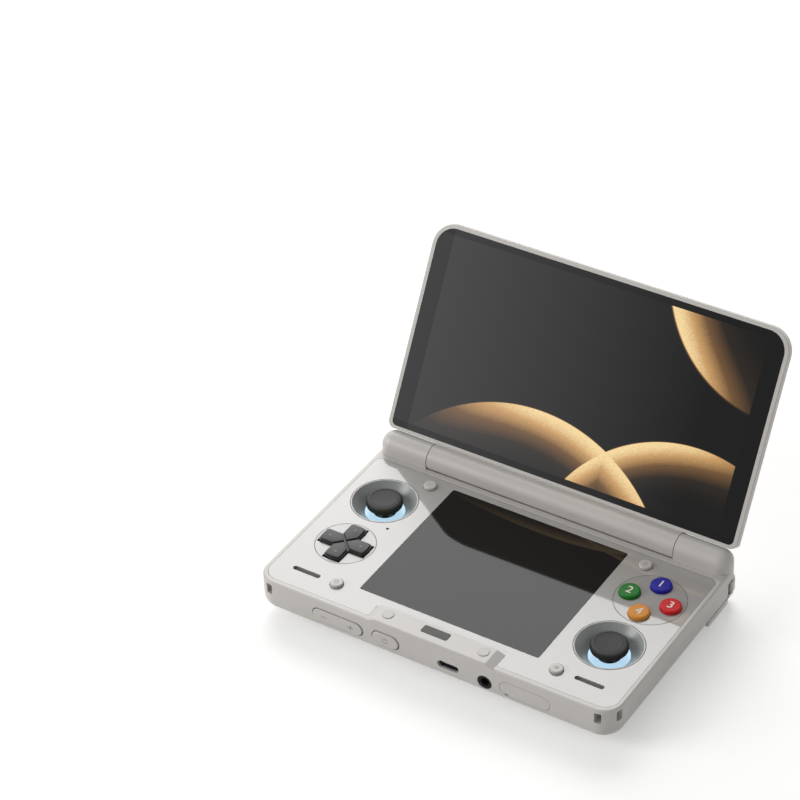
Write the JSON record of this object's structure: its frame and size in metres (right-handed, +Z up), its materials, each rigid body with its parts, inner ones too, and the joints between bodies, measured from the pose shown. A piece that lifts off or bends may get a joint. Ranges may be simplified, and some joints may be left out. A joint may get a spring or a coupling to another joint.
{
  "type": "handheld game console",
  "caption": "Clamshell handheld game console with a hinged upper screen over a base with sticks, a four-way pad, coloured buttons, a lower screen and shoulder triggers.",
  "frame": {"origin": "under the centre of the lower screen, on the surface that the feet and lobes stand on", "axes": "+X to the player's right, +Y from the player towards the hinge, +Z up"},
  "size_m": [0.1512, 0.1367, 0.0973],
  "materials": {
    "shell": "fine matt moulded plastic",
    "shoulder_plastic": "satin moulded plastic",
    "faceplate": "polished clear-coated plastic",
    "cover_glass": "polished cover glass",
    "display": "display panel",
    "well_plastic": "satin moulded plastic",
    "disc_plastic": "satin moulded plastic",
    "light_ring": "milky light guide",
    "key_dark": "satin dark plastic",
    "key_green": "polished plastic",
    "key_blue": "polished plastic",
    "key_red": "polished plastic",
    "key_orange": "polished plastic",
    "key_small": "satin plastic",
    "badge_metal": "dark anodised plate",
    "soft_rubber": "matt rubber",
    "steel": "plain steel",
    "aluminium_fins": "plain extruded",
    "board": "solder mask",
    "inner_plastic": "black moulded plastic",
    "battery_wrap": "film wrap",
    "ribbon": "polyimide film"
  },
  "bodies": {
    "base": {"lower_case": "shell", "upper_case": "shell", "faceplate": "faceplate", "lower_screen_glass": "cover_glass", "lower_display": "display", "main_board": "board", "button_boards": "board", "battery": "battery_wrap", "fan_housing": "inner_plastic", "heatsink": "aluminium_fins", "speakers": "inner_plastic", "left_stick_well": "well_plastic", "right_stick_well": "well_plastic", "light_rings": "light_ring", "stick_housings": "inner_plastic", "dpad_disc": "disc_plastic", "face_button_disc": "disc_plastic", "key_domes": "soft_rubber", "usb_port": "steel", "headphone_jack": "inner_plastic", "card_reader": "inner_plastic", "badge_plate": "badge_metal", "lid_pads": "soft_rubber", "front_feet": "soft_rubber", "case_screws": "steel", "hinge_brackets": "steel", "pivot_pins": "steel", "tact_switches": "inner_plastic"},
    "lid": {"lid_back_cover": "shell", "lid_front_frame": "shell", "hinge_cover": "shell", "top_screen_glass": "cover_glass", "top_display": "display", "barrel_caps": "shell", "hinge_shafts": "steel", "display_flex": "ribbon"},
    "right_face_button": {"right_face_button": "key_red"},
    "back_face_button": {"back_face_button": "key_blue"},
    "left_face_button": {"left_face_button": "key_green"},
    "front_face_button": {"front_face_button": "key_orange"},
    "upper_left_button": {"upper_left_button": "key_small"},
    "upper_right_button": {"upper_right_button": "key_small"},
    "lower_left_button": {"lower_left_button": "key_small"},
    "lower_right_button": {"lower_right_button": "key_small"},
    "dpad_pivot": {"dpad_pivot": "inner_plastic"},
    "dpad": {"dpad": "key_dark"},
    "left_gimbal": {"left_stick_gimbal": "inner_plastic"},
    "left_rocker": {"left_stick_rocker": "inner_plastic"},
    "left_stick": {"left_stick_cap": "key_dark"},
    "right_gimbal": {"right_stick_gimbal": "inner_plastic"},
    "right_rocker": {"right_stick_rocker": "inner_plastic"},
    "right_stick": {"right_stick_cap": "key_dark"},
    "volume_rocker": {"volume_rocker": "shell"},
    "power_button": {"power_button": "shell"},
    "card_flap": {"card_flap": "shell"},
    "left_bumper": {"left_bumper": "shoulder_plastic"},
    "left_trigger": {"left_trigger": "shoulder_plastic"},
    "right_bumper": {"right_bumper": "shoulder_plastic"},
    "right_trigger": {"right_trigger": "shoulder_plastic"},
    "fan_impeller": {"fan_impeller": "inner_plastic"}
  },
  "joints": [
    {"name": "lid_hinge", "type": "hinge", "parent": "base", "child": "lid", "pos_m": [0, 0.043, 0.0205], "axis": [1, 0, 0], "range_deg": [-30, 120]},
    {"name": "right_face_press", "type": "slide", "parent": "base", "child": "right_face_button", "axis": [0, 0, -1], "range_m": [0, 0.0008], "stiffness_N_per_m": 800, "springref_m": -0.0004},
    {"name": "back_face_press", "type": "slide", "parent": "base", "child": "back_face_button", "axis": [0, 0, -1], "range_m": [0, 0.0008], "stiffness_N_per_m": 800, "springref_m": -0.0004},
    {"name": "left_face_press", "type": "slide", "parent": "base", "child": "left_face_button", "axis": [0, 0, -1], "range_m": [0, 0.0008], "stiffness_N_per_m": 800, "springref_m": -0.0004},
    {"name": "front_face_press", "type": "slide", "parent": "base", "child": "front_face_button", "axis": [0, 0, -1], "range_m": [0, 0.0008], "stiffness_N_per_m": 800, "springref_m": -0.0004},
    {"name": "upper_left_press", "type": "slide", "parent": "base", "child": "upper_left_button", "axis": [0, 0, -1], "range_m": [0, 0.0005], "stiffness_N_per_m": 1500, "springref_m": -0.0003},
    {"name": "upper_right_press", "type": "slide", "parent": "base", "child": "upper_right_button", "axis": [0, 0, -1], "range_m": [0, 0.0005], "stiffness_N_per_m": 1500, "springref_m": -0.0003},
    {"name": "lower_left_press", "type": "slide", "parent": "base", "child": "lower_left_button", "axis": [0, 0, -1], "range_m": [0, 0.0005], "stiffness_N_per_m": 1500, "springref_m": -0.0003},
    {"name": "lower_right_press", "type": "slide", "parent": "base", "child": "lower_right_button", "axis": [0, 0, -1], "range_m": [0, 0.0005], "stiffness_N_per_m": 1500, "springref_m": -0.0003},
    {"name": "dpad_rock_x", "type": "hinge", "parent": "base", "child": "dpad_pivot", "pos_m": [-0.0559, -0.0141, 0.0139], "axis": [1, 0, 0], "range_deg": [-2, 2], "stiffness_Nm_per_rad": 0.15},
    {"name": "dpad_rock_y", "type": "hinge", "parent": "dpad_pivot", "child": "dpad", "pos_m": [-0.0559, -0.0141, 0.0139], "axis": [0, 1, 0], "range_deg": [-2, 2], "stiffness_Nm_per_rad": 0.15},
    {"name": "left_stick_tilt_x", "type": "hinge", "parent": "base", "child": "left_gimbal", "pos_m": [-0.0568, 0.0142, 0.0091], "axis": [1, 0, 0], "range_deg": [-10, 10], "stiffness_Nm_per_rad": 0.03},
    {"name": "left_stick_tilt_y", "type": "hinge", "parent": "left_gimbal", "child": "left_rocker", "pos_m": [-0.0568, 0.0142, 0.0091], "axis": [0, 1, 0], "range_deg": [-10, 10], "stiffness_Nm_per_rad": 0.03},
    {"name": "left_stick_click", "type": "slide", "parent": "left_rocker", "child": "left_stick", "axis": [0, 0, -1], "range_m": [0, 0.0005], "stiffness_N_per_m": 3000, "springref_m": -0.0003},
    {"name": "right_stick_tilt_x", "type": "hinge", "parent": "base", "child": "right_gimbal", "pos_m": [0.0559, -0.0142, 0.0091], "axis": [1, 0, 0], "range_deg": [-10, 10], "stiffness_Nm_per_rad": 0.03},
    {"name": "right_stick_tilt_y", "type": "hinge", "parent": "right_gimbal", "child": "right_rocker", "pos_m": [0.0559, -0.0142, 0.0091], "axis": [0, 1, 0], "range_deg": [-10, 10], "stiffness_Nm_per_rad": 0.03},
    {"name": "right_stick_click", "type": "slide", "parent": "right_rocker", "child": "right_stick", "axis": [0, 0, -1], "range_m": [0, 0.0005], "stiffness_N_per_m": 3000, "springref_m": -0.0003},
    {"name": "volume_rock", "type": "hinge", "parent": "base", "child": "volume_rocker", "pos_m": [-0.03885, -0.0409, 0.01115], "axis": [0, 0, 1], "range_deg": [-2.5, 2.5], "stiffness_Nm_per_rad": 0.25},
    {"name": "power_press", "type": "slide", "parent": "base", "child": "power_button", "axis": [0, 1, 0], "range_m": [0, 0.0005], "stiffness_N_per_m": 2000, "springref_m": -0.0003},
    {"name": "card_flap_hinge", "type": "hinge", "parent": "base", "child": "card_flap", "pos_m": [0.0499, -0.04615, 0.0109], "axis": [0, 0, 1], "range_deg": [0, 95]},
    {"name": "left_bumper_press", "type": "hinge", "parent": "base", "child": "left_bumper", "pos_m": [-0.0565, 0.0466, 0.0106], "axis": [0, 0, 1], "range_deg": [0, 4], "stiffness_Nm_per_rad": 0.3, "springref_deg": -1.72},
    {"name": "left_trigger_pull", "type": "hinge", "parent": "base", "child": "left_trigger", "pos_m": [-0.0647, 0.0445, 0.0067], "axis": [-1, 0, 0], "range_deg": [0, 12], "stiffness_Nm_per_rad": 0.05, "springref_deg": -5.73},
    {"name": "right_bumper_press", "type": "hinge", "parent": "base", "child": "right_bumper", "pos_m": [0.0565, 0.0466, 0.0106], "axis": [0, 0, -1], "range_deg": [0, 4], "stiffness_Nm_per_rad": 0.3, "springref_deg": -1.72},
    {"name": "right_trigger_pull", "type": "hinge", "parent": "base", "child": "right_trigger", "pos_m": [0.0647, 0.0445, 0.0067], "axis": [-1, 0, 0], "range_deg": [0, 12], "stiffness_Nm_per_rad": 0.05, "springref_deg": -5.73},
    {"name": "fan_spin", "type": "hinge", "parent": "base", "child": "fan_impeller", "pos_m": [0.026, 0.0165, 0.0087], "axis": [0, 0, 1], "continuous": true}
  ]
}
